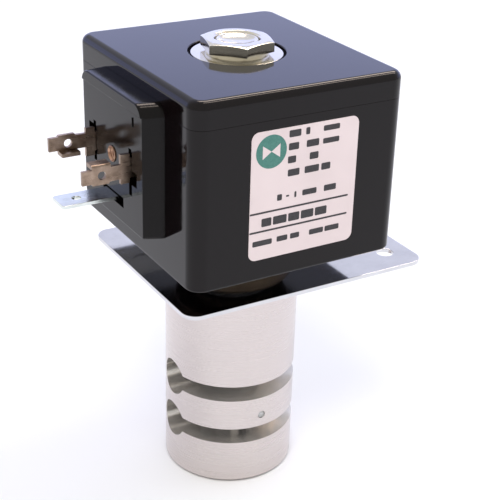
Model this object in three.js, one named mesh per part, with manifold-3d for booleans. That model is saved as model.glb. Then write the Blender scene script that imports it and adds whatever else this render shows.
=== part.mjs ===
// Three-way solenoid pinch valve with an encapsulated DC coil and a slotted aluminium body.
//
// Two flexible tubes are pushed sideways through slits in the body into round channels that run
// along X. A sprung carriage carries a pinch bar between the channels. With the coil off the bar
// squeezes the lower tube, and with the coil on the armature lifts it against the upper tube.
//
// Millimetres, +Z up. The origin is the centre of the body's flat bottom face. The label faces -Y
// and the plug connector faces -X.

import * as THREE from 'three';
import { mergeVertices } from 'three/addons/utils/BufferGeometryUtils.js';
import Module from 'manifold-3d';

const wasm = await Module();
wasm.setup();

// ---- Driving dimensions ------------------------------------------------------------------------

const tubeDiameter = 9.0;
const tubeBore = 6.4;
const tubeWall = (tubeDiameter - tubeBore) / 2;

const bodyRadius = 16.0;
const bodyHeight = 54.9;
const bodyChamfer = 0.6;
const channelRadius = tubeDiameter / 2 + 0.05;
const lowerChannelZ = 13.4;
const channelPitch = 12.0;
const upperChannelZ = lowerChannelZ + channelPitch;
const slitHeight = 4.0;

const pocketFloorZ = 8.6;
const pocketRadius = 7.6;
const headSeatZ = 31.0;
const headBoreRadius = 8.3;
const socketFloorZ = 46.5;
const socketRadius = 10.0;

const stroke = tubeBore;
const barWidth = 6.0;
const barNoseRadius = 2.4;
const pinchGap = 2 * tubeWall;
const barBottomZ = lowerChannelZ - channelRadius + pinchGap + 0.1;
const barTopZ = upperChannelZ - channelRadius - 0.1;
const carriageRadius = 7.3;
const headRadius = 8.0;
const headHeight = 6.0;
const legFrontY = 4.95;

const plateThickness = 1.0;
const plateLeft = -25.0;
const plateRight = 38.9;
const plateHalfDepth = 25.0;
const plateCornerRadius = 3.5;
const plateHoleRadius = 2.1;
const plateHoleX = 32.5;
const plateHoleY = 17.5;
const plateTopZ = bodyHeight + plateThickness;

const stemFlangeRadius = 14.0;
const stemFlangeHeight = 4.4;
const stemCollarRadius = 10.0;
const gasketThickness = 1.0;
const coilBottomZ = 63.3;

const tubeOuterRadius = 7.2;
const tubeInnerRadius = 6.6;
const armatureRadius = 6.4;
const coreFaceZ = 84.0;
const guideTubeTopZ = 98.0;
const studRadius = 5.0;
const studTopZ = 108.2;

const coilWidth = 52.0;
const coilDepth = 57.2;
const coilHeight = 42.1;
const coilTopZ = coilBottomZ + coilHeight;
const coilCornerRadius = 3.6;
const coilEdgeRadius = 1.9;
const coilWall = 3.0;
const capHeight = 5.9;
const capBottomZ = coilTopZ - capHeight;
const recessRadius = 11.0;
const recessDepth = 1.85;
const coilBoreRadius = tubeOuterRadius + 0.15;

const yokeThickness = 3.0;
const yokeHalfWidth = 19.0;
const yokeHalfDepth = 24.3;

const washerRadius = 10.4;
const washerThickness = 1.5;
const nutAcrossFlats = 14.8;
const nutTurn = 15;
const nutTopZ = 108.5;
const nutCollarRadius = 7.2;
const nutCollarHeight = 0.85;

const connectorCentreZ = 86.2;
const connectorDepth = 4.7;
const connectorHalfWidth = 15.7;
const connectorBottomZ = 71.5;
const connectorTopZ = 101.4;
const connectorCornerRadius = 3.2;
const bladeSpacing = 18.0;
const bladeThickness = 0.8;
const earthBladeZ = 77.0;
const earthBladeWidth = 6.3;
const bladeHoleRadius = 1.0;

const labelWidth = 26.6;
const labelHeight = 29.0;
const labelCentreX = 0.5;
const labelCentreZ = 82.9;
const labelThickness = 0.15;
const labelCornerRadius = 1.8;
const labelGap = 0.02;

const touchGap = 0.05;
const cutMargin = 1.0;
const roundSegments = 36;
const bodySegments = 64;

// ---- Shape helpers -----------------------------------------------------------------------------

// Keeps only positions, joins shared vertices, drops empty triangles and turns every face outwards.
function closed(geometry) {
  const bare = geometry.clone();
  bare.deleteAttribute('normal');
  bare.deleteAttribute('uv');
  const merged = mergeVertices(bare, 1e-5);
  const position = merged.getAttribute('position');
  const index = [];
  for (let i = 0; i < merged.index.count; i += 3) {
    const corners = [0, 1, 2].map((k) => merged.index.getX(i + k));
    if (new Set(corners).size === 3) index.push(...corners);
  }
  const a = new THREE.Vector3();
  const b = new THREE.Vector3();
  const c = new THREE.Vector3();
  let volume = 0;
  for (let i = 0; i < index.length; i += 3) {
    a.fromBufferAttribute(position, index[i]);
    b.fromBufferAttribute(position, index[i + 1]);
    c.fromBufferAttribute(position, index[i + 2]);
    volume += a.dot(b.cross(c));
  }
  if (volume < 0) {
    for (let i = 0; i < index.length; i += 3) {
      [index[i + 1], index[i + 2]] = [index[i + 2], index[i + 1]];
    }
  }
  merged.setIndex(index);
  return merged;
}

function toSolid(geometry) {
  const clean = closed(geometry);
  return new wasm.Manifold(new wasm.Mesh({
    numProp: 3,
    vertProperties: new Float32Array(clean.getAttribute('position').array),
    triVerts: new Uint32Array(clean.index.array),
  }));
}

function toGeometry(solid) {
  const mesh = solid.getMesh();
  const geometry = new THREE.BufferGeometry();
  geometry.setAttribute('position', new THREE.BufferAttribute(new Float32Array(mesh.vertProperties), 3));
  geometry.setIndex(new THREE.BufferAttribute(new Uint32Array(mesh.triVerts), 1));
  geometry.computeVertexNormals();
  return geometry;
}

function cut(base, ...tools) {
  return toGeometry(tools.reduce((left, tool) => left.subtract(toSolid(tool)), toSolid(base)));
}

function join(base, ...others) {
  return toGeometry(others.reduce((left, other) => left.add(toSolid(other)), toSolid(base)));
}

function common(base, other) {
  return toGeometry(toSolid(base).intersect(toSolid(other)));
}

function box(x0, x1, y0, y1, z0, z1) {
  const geometry = new THREE.BoxGeometry(x1 - x0, y1 - y0, z1 - z0);
  return geometry.translate((x0 + x1) / 2, (y0 + y1) / 2, (z0 + z1) / 2);
}

// A turned solid about Z from [radius, z] points. Its outline closes on itself or ends on the axis.
function turned(outline, segments = roundSegments) {
  const points = outline.map(([radius, z]) => new THREE.Vector2(radius, z));
  return closed(new THREE.LatheGeometry(points, segments).rotateX(Math.PI / 2));
}

function rod(radius, z0, z1, segments = roundSegments) {
  return turned([[0, z0], [radius, z0], [radius, z1], [0, z1]], segments);
}

function ring(innerRadius, outerRadius, z0, z1, segments = roundSegments) {
  const outline = [[innerRadius, z0], [outerRadius, z0], [outerRadius, z1], [innerRadius, z1]];
  return turned([...outline, outline[0]], segments);
}

function rodAlongX(radius, x0, x1, y, z, segments = 24) {
  return rod(radius, x0, x1, segments).rotateY(Math.PI / 2).translate(0, y, z);
}

function rodAlongY(radius, y0, y1, x, z, segments = 24) {
  return rod(radius, -y1, -y0, segments).rotateX(Math.PI / 2).translate(x, 0, z);
}

function roundedRectangle(x0, x1, y0, y1, radius) {
  const shape = new THREE.Shape();
  shape.moveTo(x0 + radius, y0);
  shape.lineTo(x1 - radius, y0);
  shape.absarc(x1 - radius, y0 + radius, radius, -Math.PI / 2, 0);
  shape.lineTo(x1, y1 - radius);
  shape.absarc(x1 - radius, y1 - radius, radius, 0, Math.PI / 2);
  shape.lineTo(x0 + radius, y1);
  shape.absarc(x0 + radius, y1 - radius, radius, Math.PI / 2, Math.PI);
  shape.lineTo(x0, y0 + radius);
  shape.absarc(x0 + radius, y0 + radius, radius, Math.PI, 1.5 * Math.PI);
  return shape;
}

function polygon(points) {
  return new THREE.Shape(points.map(([x, y]) => new THREE.Vector2(x, y)));
}

// A prism of an XY shape between two heights.
function prism(shape, z0, z1, curveSegments = 6) {
  const options = { depth: z1 - z0, bevelEnabled: false, curveSegments };
  return new THREE.ExtrudeGeometry(shape, options).translate(0, 0, z0);
}

// A prism of a shape drawn in (x, z), running along Y from y0 to y1.
function prismAlongY(shape, y0, y1, curveSegments = 6) {
  return prism(shape, -y1, -y0, curveSegments).rotateX(Math.PI / 2);
}

// A prism of a shape drawn in (y, z), running along X from x0 to x1.
function prismAlongX(shape, x0, x1, curveSegments = 6) {
  return prism(shape, x0, x1, curveSegments).rotateX(Math.PI / 2).rotateZ(Math.PI / 2);
}

// A round wire along a curve.
function wire(path, radius, steps, sides = 6) {
  const section = new THREE.Shape();
  section.absarc(0, 0, radius, 0, 2 * Math.PI);
  const options = { steps, extrudePath: path, bevelEnabled: false, curveSegments: sides / 2 };
  return closed(new THREE.ExtrudeGeometry(section, options));
}

const valve = new THREE.Group();

function add(name, geometry, colour, roughness, metalness) {
  const material = new THREE.MeshStandardMaterial({ color: colour, roughness, metalness });
  const mesh = new THREE.Mesh(closed(geometry), material);
  mesh.name = name;
  valve.add(mesh);
}

const finish = {
  aluminium: [0xd2cdcd, 0.35, 1.0],
  polishedSteel: [0xd8dae0, 0.1, 1.0],
  steel: [0xb4b6ba, 0.3, 1.0],
  bronzed: [0x7a6a55, 0.55, 0.8],
  zinc: [0xdcdee2, 0.2, 1.0],
  copper: [0xb06a3a, 0.4, 1.0],
  brass: [0xb08a50, 0.35, 1.0],
  terminal: [0x8f8068, 0.45, 1.0],
  resin: [0x1b1a1c, 0.18, 0.0],
  nylon: [0xe6e0d0, 0.5, 0.0],
  rubber: [0x202020, 0.8, 0.0],
  paper: [0xf4eff0, 0.5, 0.0],
};

// ---- Valve body --------------------------------------------------------------------------------

function valveBody() {
  const billet = turned([
    [0, 0],
    [bodyRadius - bodyChamfer, 0],
    [bodyRadius, bodyChamfer],
    [bodyRadius, bodyHeight - bodyChamfer],
    [bodyRadius - bodyChamfer, bodyHeight],
    [0, bodyHeight],
  ], bodySegments);
  const bores = turned([
    [0, pocketFloorZ],
    [pocketRadius, pocketFloorZ],
    [pocketRadius, headSeatZ],
    [headBoreRadius, headSeatZ],
    [headBoreRadius, socketFloorZ],
    [socketRadius, socketFloorZ],
    [socketRadius, bodyHeight + cutMargin],
    [0, bodyHeight + cutMargin],
  ]);
  const reach = bodyRadius + cutMargin;
  const channels = [lowerChannelZ, upperChannelZ].flatMap((z) => [
    rodAlongX(channelRadius, -reach, reach, 0, z, 32),
    box(-reach, reach, -reach, 0, z - slitHeight / 2, z + slitHeight / 2),
  ]);
  const pinHole = rodAlongY(guidePinRadius + touchGap, -reach, -pocketRadius + cutMargin, 0, guidePinZ, 16);
  return cut(billet, bores, ...channels, pinHole);
}

// The guide pin stands in the rib between the two slits and engages the groove of the pinch bar.
const guidePinRadius = 0.9;
const guidePinZ = 18.5;
const guidePinTipY = -6.1;
const grooveHalfWidth = 1.2;
const grooveFloorY = -5.6;

function guidePin() {
  return rodAlongY(guidePinRadius, -bodyRadius + 0.1, guidePinTipY, 0, guidePinZ, 16);
}

// ---- Moving carriage and armature --------------------------------------------------------------

const rodRadius = 2.9;
const rodBottomZ = headSeatZ + 2.0;
const armatureBottomZ = 50.0;
const armatureTopZ = coreFaceZ - stroke - 0.2;
const springBoreRadius = 2.9;
const springBoreZ = 61.0;
const crossPinRadius = 0.9;
const crossPinZ = headSeatZ + headHeight / 2 + 0.4;
const crossPinHalfLength = 7.6;

// A head that stops on the body's shoulder, a leg behind the channels and the pinch bar itself.
function carriage() {
  const seat = headSeatZ + touchGap;
  const head = rod(headRadius, seat, seat + headHeight);
  const stem = rod(carriageRadius, barBottomZ, seat + cutMargin);
  const leg = common(stem, box(-carriageRadius, carriageRadius, legFrontY, carriageRadius, 0, bodyHeight));
  const nose = roundedRectangle(-barWidth / 2, barWidth / 2, barBottomZ, barTopZ, barNoseRadius);
  const bar = common(prismAlongY(nose, -carriageRadius, carriageRadius), rod(carriageRadius, 0, bodyHeight));
  const groove = box(
    -grooveHalfWidth, grooveHalfWidth,
    -carriageRadius - cutMargin, grooveFloorY,
    0, upperChannelZ,
  );
  const rodHole = rod(rodRadius + touchGap, rodBottomZ - touchGap, seat + headHeight + cutMargin);
  const pinHole = rodAlongX(crossPinRadius + touchGap, -headRadius - 1, headRadius + 1, 0, crossPinZ, 16);
  return cut(join(head, leg, bar), groove, rodHole, pinHole);
}

function armature() {
  const plunger = turned([
    [0, rodBottomZ],
    [rodRadius, rodBottomZ],
    [rodRadius, armatureBottomZ],
    [armatureRadius - 0.5, armatureBottomZ],
    [armatureRadius, armatureBottomZ + 0.5],
    [armatureRadius, armatureTopZ - 0.5],
    [armatureRadius - 0.5, armatureTopZ],
    [0, armatureTopZ],
  ]);
  const springBore = rod(springBoreRadius, springBoreZ, armatureTopZ + cutMargin);
  const pinHole = rodAlongX(crossPinRadius + touchGap, -rodRadius - 1, rodRadius + 1, 0, crossPinZ, 16);
  return cut(plunger, springBore, pinHole);
}

function crossPin() {
  return rodAlongX(crossPinRadius, -crossPinHalfLength, crossPinHalfLength, 0, crossPinZ, 16);
}

class Helix extends THREE.Curve {
  constructor(radius, z0, z1, turns) {
    super();
    this.radius = radius;
    this.z0 = z0;
    this.rise = z1 - z0;
    this.turns = turns;
  }

  getPoint(t, target = new THREE.Vector3()) {
    const angle = 2 * Math.PI * this.turns * t;
    return target.set(
      this.radius * Math.cos(angle),
      this.radius * Math.sin(angle),
      this.z0 + this.rise * t,
    );
  }
}

function returnSpring() {
  const wireRadius = 0.4;
  const turns = 9;
  const low = springBoreZ + wireRadius + 0.1;
  const high = coreFaceZ - wireRadius - 0.1;
  return wire(new Helix(springBoreRadius - wireRadius - 0.3, low, high, turns), wireRadius, turns * 10);
}

// ---- Mounting plate and stem -------------------------------------------------------------------

function mountingPlate() {
  const outline = roundedRectangle(
    plateLeft, plateRight, -plateHalfDepth, plateHalfDepth, plateCornerRadius,
  );
  const blank = prism(outline, bodyHeight, plateTopZ);
  const holes = [-plateHoleY, plateHoleY].map((y) => (
    rod(plateHoleRadius, bodyHeight - 1, plateTopZ + 1, 24).translate(plateHoleX, y, 0)
  ));
  return cut(blank, rod(socketRadius + 0.1, bodyHeight - 1, plateTopZ + 1), ...holes);
}

const stemSpigotRadius = socketRadius - 0.1;
const stemFlangeTopZ = plateTopZ + stemFlangeHeight;
const gasketBottomZ = coilBottomZ - gasketThickness - touchGap;

// Threaded spigot in the body, wide flange that clamps the plate, and the collar under the coil.
function stemBase() {
  const bore = tubeOuterRadius + touchGap;
  const outline = [
    [bore, socketFloorZ + 0.1],
    [stemSpigotRadius, socketFloorZ + 0.1],
    [stemSpigotRadius, plateTopZ],
    [stemFlangeRadius, plateTopZ],
    [stemFlangeRadius, stemFlangeTopZ - 0.5],
    [stemFlangeRadius - 0.5, stemFlangeTopZ],
    [stemCollarRadius, stemFlangeTopZ],
    [stemCollarRadius, gasketBottomZ],
    [bore, gasketBottomZ],
  ];
  return turned([...outline, outline[0]]);
}

function coilGasket() {
  return ring(tubeOuterRadius + 0.1, stemCollarRadius - 0.3, gasketBottomZ, coilBottomZ - touchGap);
}

function guideTube() {
  return ring(tubeInnerRadius, tubeOuterRadius, socketFloorZ + 0.1, guideTubeTopZ);
}

// Fixed pole plugged into the tube, with the threaded stud that carries the coil nut.
function fixedCore() {
  const outline = [
    [0, coreFaceZ],
    [tubeInnerRadius - touchGap, coreFaceZ],
    [tubeInnerRadius - touchGap, guideTubeTopZ],
    [tubeOuterRadius, guideTubeTopZ],
    [tubeOuterRadius, guideTubeTopZ + 1.2],
    [studRadius, guideTubeTopZ + 1.2],
    [studRadius, studTopZ],
    [studRadius - 0.4, studTopZ],
    [studRadius - 1.6, studTopZ - 0.6],
    [0, studTopZ - 0.8],
  ];
  return turned(outline);
}

// ---- Coil --------------------------------------------------------------------------------------

const halfWidth = coilWidth / 2;
const halfDepth = coilDepth / 2;
const bladeSlot = bladeThickness / 2 + 0.2;
const bladeShankHalfHeight = 2.2;

// Cutters for the three blade shanks through the connector base and the coil wall.
function bladeSlots(x0, x1) {
  const y = bladeSpacing / 2;
  const halfHeight = bladeShankHalfHeight + 0.2;
  const z = connectorCentreZ;
  const halfEarth = earthBladeWidth / 2 + 0.2;
  return [
    box(x0, x1, y - bladeSlot, y + bladeSlot, z - halfHeight, z + halfHeight),
    box(x0, x1, -y - bladeSlot, -y + bladeSlot, z - halfHeight, z + halfHeight),
    box(x0, x1, -halfEarth, halfEarth, earthBladeZ - bladeSlot, earthBladeZ + bladeSlot),
  ];
}

function coilOutline(inset = 0) {
  return roundedRectangle(
    -halfWidth + inset, halfWidth - inset, -halfDepth + inset, halfDepth - inset, coilCornerRadius - inset,
  );
}

const panelX = -halfWidth - connectorDepth;
const shankEndX = -22.2;
const insertRadius = 1.8;
const insertTailX = -halfWidth + 1.4;

// Lower shell, open at the top, with the bore for the guide tube.
function coilHousing() {
  const shell = prism(coilOutline(), coilBottomZ, capBottomZ);
  const cavity = box(
    -halfWidth + coilWall, halfWidth - coilWall,
    -yokeHalfDepth - 0.3, yokeHalfDepth + 0.3,
    coilBottomZ + coilWall, capBottomZ + cutMargin,
  );
  const bore = rod(coilBoreRadius, coilBottomZ - 1, coilBottomZ + coilWall + 1);
  const slots = bladeSlots(-halfWidth - 1, -halfWidth + coilWall + 1);
  const insertHole = rodAlongX(insertRadius + 0.1, -halfWidth - 1, insertTailX + 0.1, 0, connectorCentreZ);
  return cut(shell, cavity, bore, ...slots, insertHole);
}

// Upper part with the rounded top edges and the round recess for the washer.
function coilCap() {
  const options = {
    depth: capHeight,
    bevelThickness: coilEdgeRadius,
    bevelSize: coilEdgeRadius,
    bevelSegments: 3,
    curveSegments: 6,
  };
  const raw = new THREE.ExtrudeGeometry(coilOutline(coilEdgeRadius), options);
  raw.translate(0, 0, coilTopZ - capHeight - coilEdgeRadius);
  const reach = coilWidth;
  const block = common(raw, box(-reach, reach, -reach, reach, capBottomZ, coilTopZ + 1));
  const recess = rod(recessRadius, coilTopZ - recessDepth, coilTopZ + 1);
  const bore = rod(studRadius + 0.4, capBottomZ - 1, coilTopZ);
  return cut(block, recess, bore);
}

const yokePlateBottomZ = coilBottomZ + coilWall + 0.1;
const yokePlateTopZ = yokePlateBottomZ + yokeThickness;
const yokeTopZ = capBottomZ - 0.5;
const yokePlateLeft = -21.6;

function yokePlate() {
  const plate = box(
    yokePlateLeft, yokeHalfWidth, -yokeHalfDepth, yokeHalfDepth, yokePlateBottomZ, yokePlateTopZ,
  );
  return cut(plate, rod(coilBoreRadius, yokePlateBottomZ - 1, yokePlateTopZ + 1));
}

// Inverted U of steel strip around the winding.
function yokeFrame() {
  const low = yokePlateTopZ + touchGap;
  const strip = box(-yokeHalfWidth, yokeHalfWidth, -yokeHalfDepth, yokeHalfDepth, low, yokeTopZ);
  const inside = box(
    -yokeHalfWidth - 1, yokeHalfWidth + 1,
    -yokeHalfDepth + yokeThickness, yokeHalfDepth - yokeThickness,
    low - 1, yokeTopZ - yokeThickness,
  );
  return cut(strip, inside, rod(coilBoreRadius, yokeTopZ - yokeThickness - 1, yokeTopZ + 1));
}

const bobbinBottomZ = yokePlateTopZ + 0.1;
const bobbinTopZ = yokeTopZ - yokeThickness - 0.1;
const bobbinFlange = 1.2;
const bobbinBarrelRadius = 8.5;
const bobbinFlangeRadius = 18.0;
const windingRadius = 16.8;

function bobbin() {
  const outline = [
    [coilBoreRadius, bobbinBottomZ],
    [bobbinFlangeRadius, bobbinBottomZ],
    [bobbinFlangeRadius, bobbinBottomZ + bobbinFlange],
    [bobbinBarrelRadius, bobbinBottomZ + bobbinFlange],
    [bobbinBarrelRadius, bobbinTopZ - bobbinFlange],
    [bobbinFlangeRadius, bobbinTopZ - bobbinFlange],
    [bobbinFlangeRadius, bobbinTopZ],
    [coilBoreRadius, bobbinTopZ],
  ];
  return turned([...outline, outline[0]]);
}

function winding() {
  return ring(
    bobbinBarrelRadius + 0.1, windingRadius,
    bobbinBottomZ + bobbinFlange + 0.1, bobbinTopZ - bobbinFlange - 0.1,
  );
}

const leadWireRadius = 0.4;
const leadPath = [
  [-windingRadius - 0.7, 2.5, connectorCentreZ - 2.0],
  [-windingRadius - 2.2, 4.5, connectorCentreZ - 0.6],
  [shankEndX + 0.9, bladeSpacing / 2, connectorCentreZ],
];

// Enamelled lead from the winding to the inner end of a power blade; side is +1 or -1 along Y.
function leadWire(side) {
  const points = leadPath.map(([x, y, z]) => new THREE.Vector3(x, side * y, z));
  return wire(new THREE.CatmullRomCurve3(points), leadWireRadius, 10);
}

// ---- Connector ---------------------------------------------------------------------------------


function connectorBase() {
  const outline = roundedRectangle(
    -connectorHalfWidth, connectorHalfWidth, connectorBottomZ, connectorTopZ, connectorCornerRadius,
  );
  const block = prismAlongX(outline, panelX, -halfWidth - touchGap);
  const slots = bladeSlots(panelX - 1, -halfWidth + 1);
  const insertHole = rodAlongX(insertRadius + 0.1, panelX - 1, -halfWidth + 1, 0, connectorCentreZ);
  return cut(block, ...slots, insertHole);
}

const insertBoreRadius = 1.4;
const insertStand = 0.3;

// Threaded insert for the plug's screw, standing just proud of the panel.
function connectorInsert() {
  const face = panelX - insertStand;
  const body = rodAlongX(insertRadius, face, insertTailX, 0, connectorCentreZ);
  return cut(body, rodAlongX(insertBoreRadius, face - cutMargin, insertTailX - 1, 0, connectorCentreZ));
}

// Power blade: distances out from the panel face, and heights from the blade's middle.
const shoulderStart = 0.3;
const shoulderEnd = 2.4;
const wingStart = 4.6;
const lugStart = 4.9;
const lugHoleOut = 6.65;
const lugEnd = 8.9;
const powerBladeReach = 11.1;
const shoulderHalfHeight = 3.3;
const tipTop = 2.2;
const lugTop = 2.6;
const neckBottom = -1.1;
const tipBottom = -0.9;
const lugHoleZ = 0.55;
const wingReach = 2.4;

// Shoulder, neck, lug with a hole, tip and a folded wing; the front one is turned half round.
function powerBlade(side) {
  const shank = bladeShankHalfHeight;
  const outline = polygon([
    [shankEndX, -shank],
    [shankEndX, shank],
    [panelX - shoulderStart, shank],
    [panelX - shoulderStart, shoulderHalfHeight],
    [panelX - shoulderEnd, shoulderHalfHeight],
    [panelX - shoulderEnd, tipTop],
    [panelX - lugStart, tipTop],
    [panelX - lugStart, lugTop],
    [panelX - lugEnd, lugTop],
    [panelX - lugEnd, tipTop],
    [panelX - powerBladeReach, tipTop],
    [panelX - powerBladeReach, tipBottom],
    [panelX - lugEnd, tipBottom],
    [panelX - lugEnd, neckBottom],
    [panelX - shoulderEnd, neckBottom],
    [panelX - shoulderEnd, -shoulderHalfHeight],
    [panelX - shoulderStart, -shoulderHalfHeight],
    [panelX - shoulderStart, -shank],
  ]);
  const half = bladeThickness / 2;
  const wing = box(
    panelX - lugEnd, panelX - wingStart, -wingReach, half, neckBottom - bladeThickness, neckBottom + touchGap,
  );
  const hole = rodAlongY(bladeHoleRadius, -cutMargin, cutMargin, panelX - lugHoleOut, lugHoleZ, 20);
  const blade = cut(join(prismAlongY(outline, -half, half), wing), hole);
  const turn = side > 0 ? 0 : Math.PI;
  return blade.translate(0, bladeSpacing / 2, 0).rotateX(turn).translate(0, 0, connectorCentreZ);
}

const earthBladeReach = 13.1;
const earthHoleOut = 8.7;
const earthTipChamfer = 0.5;
const earthRootX = yokePlateLeft - 0.1;

// Earth blade with a chamfered tip and an inner leg welded to the edge of the yoke plate.
function earthBlade() {
  const tip = panelX - earthBladeReach;
  const half = earthBladeWidth / 2;
  const outline = polygon([
    [earthRootX, -half],
    [earthRootX, half],
    [tip + earthTipChamfer, half],
    [tip, half - earthTipChamfer],
    [tip, -half + earthTipChamfer],
    [tip + earthTipChamfer, -half],
  ]);
  const z0 = earthBladeZ - bladeThickness / 2;
  const z1 = earthBladeZ + bladeThickness / 2;
  const leg = box(
    earthRootX - bladeThickness, earthRootX, -half, half, yokePlateBottomZ + touchGap, z0 + touchGap,
  );
  const hole = rod(bladeHoleRadius, z0 - cutMargin, z1 + cutMargin, 20).translate(panelX - earthHoleOut, 0, 0);
  return cut(join(prism(outline, z0, z1), leg), hole);
}

function label() {
  const outline = roundedRectangle(
    labelCentreX - labelWidth / 2, labelCentreX + labelWidth / 2,
    labelCentreZ - labelHeight / 2, labelCentreZ + labelHeight / 2, labelCornerRadius,
  );
  const back = -halfDepth - labelGap;
  return prismAlongY(outline, back - labelThickness, back);
}

// ---- Fastening on top --------------------------------------------------------------------------

const washerBottomZ = coilTopZ - recessDepth + touchGap;
const washerTopZ = washerBottomZ + washerThickness;
const hexBottomZ = washerTopZ + nutCollarHeight;
const studClearance = studRadius + 0.2;

function coilWasher() {
  return ring(studClearance, washerRadius, washerBottomZ, washerTopZ);
}

// Thin hexagon nut with a chamfered top and a round collar below.
function coilNut() {
  const cornerRadius = nutAcrossFlats / Math.sqrt(3);
  const hexagon = polygon(Array.from({ length: 6 }, (_, k) => {
    const angle = THREE.MathUtils.degToRad(nutTurn + 60 * k);
    return [cornerRadius * Math.cos(angle), cornerRadius * Math.sin(angle)];
  }));
  const flatRadius = nutAcrossFlats / 2 - 0.5;
  const chamferDrop = 0.75;
  const envelope = turned([
    [0, hexBottomZ - 1],
    [cornerRadius + 1, hexBottomZ - 1],
    [cornerRadius + 1, nutTopZ - chamferDrop],
    [flatRadius, nutTopZ],
    [0, nutTopZ],
  ]);
  const head = common(prism(hexagon, hexBottomZ, nutTopZ), envelope);
  const collar = rod(nutCollarRadius, washerTopZ, hexBottomZ + 0.1);
  return cut(join(head, collar), rod(studRadius + touchGap, washerTopZ - 1, nutTopZ + 1));
}

// ---- Assembly ----------------------------------------------------------------------------------

add('valve_body', valveBody(), ...finish.aluminium);
add('guide_pin', guidePin(), ...finish.steel);
add('pinch_carriage', carriage(), ...finish.steel);
add('armature', armature(), ...finish.steel);
add('carriage_cross_pin', crossPin(), ...finish.steel);
add('return_spring', returnSpring(), ...finish.steel);
add('mounting_plate', mountingPlate(), ...finish.polishedSteel);
add('stem_base', stemBase(), ...finish.bronzed);
add('coil_gasket', coilGasket(), ...finish.rubber);
add('guide_tube', guideTube(), ...finish.steel);
add('fixed_core', fixedCore(), ...finish.zinc);
add('coil_housing', coilHousing(), ...finish.resin);
add('coil_cap', coilCap(), ...finish.resin);
add('yoke_plate', yokePlate(), ...finish.steel);
add('yoke_frame', yokeFrame(), ...finish.steel);
add('bobbin', bobbin(), ...finish.nylon);
add('winding', winding(), ...finish.copper);
add('lead_wire_rear', leadWire(1), ...finish.copper);
add('lead_wire_front', leadWire(-1), ...finish.copper);
add('connector_base', connectorBase(), ...finish.resin);
add('connector_insert', connectorInsert(), ...finish.brass);
add('power_blade_rear', powerBlade(1), ...finish.terminal);
add('power_blade_front', powerBlade(-1), ...finish.terminal);
add('earth_blade', earthBlade(), ...finish.zinc);
add('label', label(), ...finish.paper);
add('coil_washer', coilWasher(), ...finish.zinc);
add('coil_nut', coilNut(), ...finish.zinc);

export default valve;
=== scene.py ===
import math

import bmesh
import bpy
from mathutils import Euler, Matrix, Vector


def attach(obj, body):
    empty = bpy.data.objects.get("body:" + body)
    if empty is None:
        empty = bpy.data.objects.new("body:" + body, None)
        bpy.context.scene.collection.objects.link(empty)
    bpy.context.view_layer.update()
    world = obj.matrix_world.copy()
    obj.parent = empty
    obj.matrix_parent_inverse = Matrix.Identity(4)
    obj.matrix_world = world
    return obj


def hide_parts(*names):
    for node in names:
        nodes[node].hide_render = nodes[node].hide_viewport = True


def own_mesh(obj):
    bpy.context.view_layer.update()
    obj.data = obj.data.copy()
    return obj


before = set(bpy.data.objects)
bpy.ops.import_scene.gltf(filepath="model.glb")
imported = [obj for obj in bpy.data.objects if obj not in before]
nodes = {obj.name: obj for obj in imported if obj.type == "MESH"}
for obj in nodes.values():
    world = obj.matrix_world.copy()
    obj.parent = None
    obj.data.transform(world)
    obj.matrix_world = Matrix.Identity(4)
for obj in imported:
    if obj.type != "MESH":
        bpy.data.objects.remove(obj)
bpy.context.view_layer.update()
print("frame loaded:", len(nodes), "nodes")


# Camera, floor and light

camera = {
    "place": (-0.13116, -0.22448, 0.18201),
    "turn": (64.081, -1.930, -31.129),  # degrees about X, Y and Z
    "lens": 86.6,
    "sensor": 36.0,
    "shift": (-0.0462, 0.0049),
    "clip": (0.01, 20),
}
studio = {
    "floorRadius": 2.5,
    "floorDrop": 0.0002,
    "skyColour": (0.80, 0.79, 0.78),
    "backColour": (0.88, 0.90, 1.06),  # the wall behind, at the height that the plate mirrors
    "bandColour": (1.06, 1.15, 1.78),  # the cooler strip of it, lower down, that the coil's top mirrors
    "bandHeights": (0.36, 0.42),  # where the strip fades into the wall, as the Z of the direction
    "wallSide": (0.53, 0.85, 0),
    "wallFade": (0.0, 0.5),
    "aim": (0, 0, 0.06),
    "keyTone": (1.0, 0.98, 0.96),
    "fillTone": (0.97, 0.98, 1.0),
    "stripTone": (1.0, 0.83, 0.70),
}
softLights = [  # broad lights that shade but leave no glint
    {"name": "keyLight", "place": (-0.5, -0.55, 1.3), "size": 0.6, "watts": 7.0, "tone": "keyTone"},
    {"name": "fillLight", "place": (0.75, -0.15, 1.2), "size": 0.7, "watts": 4.5, "tone": "fillTone"},
]
edgeStrips = [  # long lights above, seen only as glints on the rounded edges
    {"name": "edgeStripLow", "place": (0.63, 0.50, 0.95), "size": 1.0, "width": 0.24, "watts": 7.5},
    {"name": "edgeStripHigh", "place": (0.63, 0.05, 1.08), "size": 1.0, "width": 0.14, "watts": 4.0},
]


def newNode(tree, kind, **settings):
    node = tree.nodes.new(kind)
    for key, value in settings.items():
        setattr(node, key, value)
    return node


def fade(tree, value, span):
    remap = newNode(tree, "ShaderNodeMapRange", interpolation_type="SMOOTHSTEP")
    remap.inputs["From Min"].default_value, remap.inputs["From Max"].default_value = span
    tree.links.new(value, remap.inputs["Value"])
    return remap.outputs[0]


def placeCamera():
    data = bpy.data.cameras.new("productCamera")
    data.sensor_width = camera["sensor"]
    data.lens = camera["lens"]
    data.shift_x, data.shift_y = camera["shift"]
    data.clip_start, data.clip_end = camera["clip"]
    obj = bpy.data.objects.new("productCamera", data)
    obj.location = camera["place"]
    obj.rotation_euler = Euler([math.radians(a) for a in camera["turn"]])
    bpy.context.scene.collection.objects.link(obj)
    bpy.context.scene.camera = obj


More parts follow.
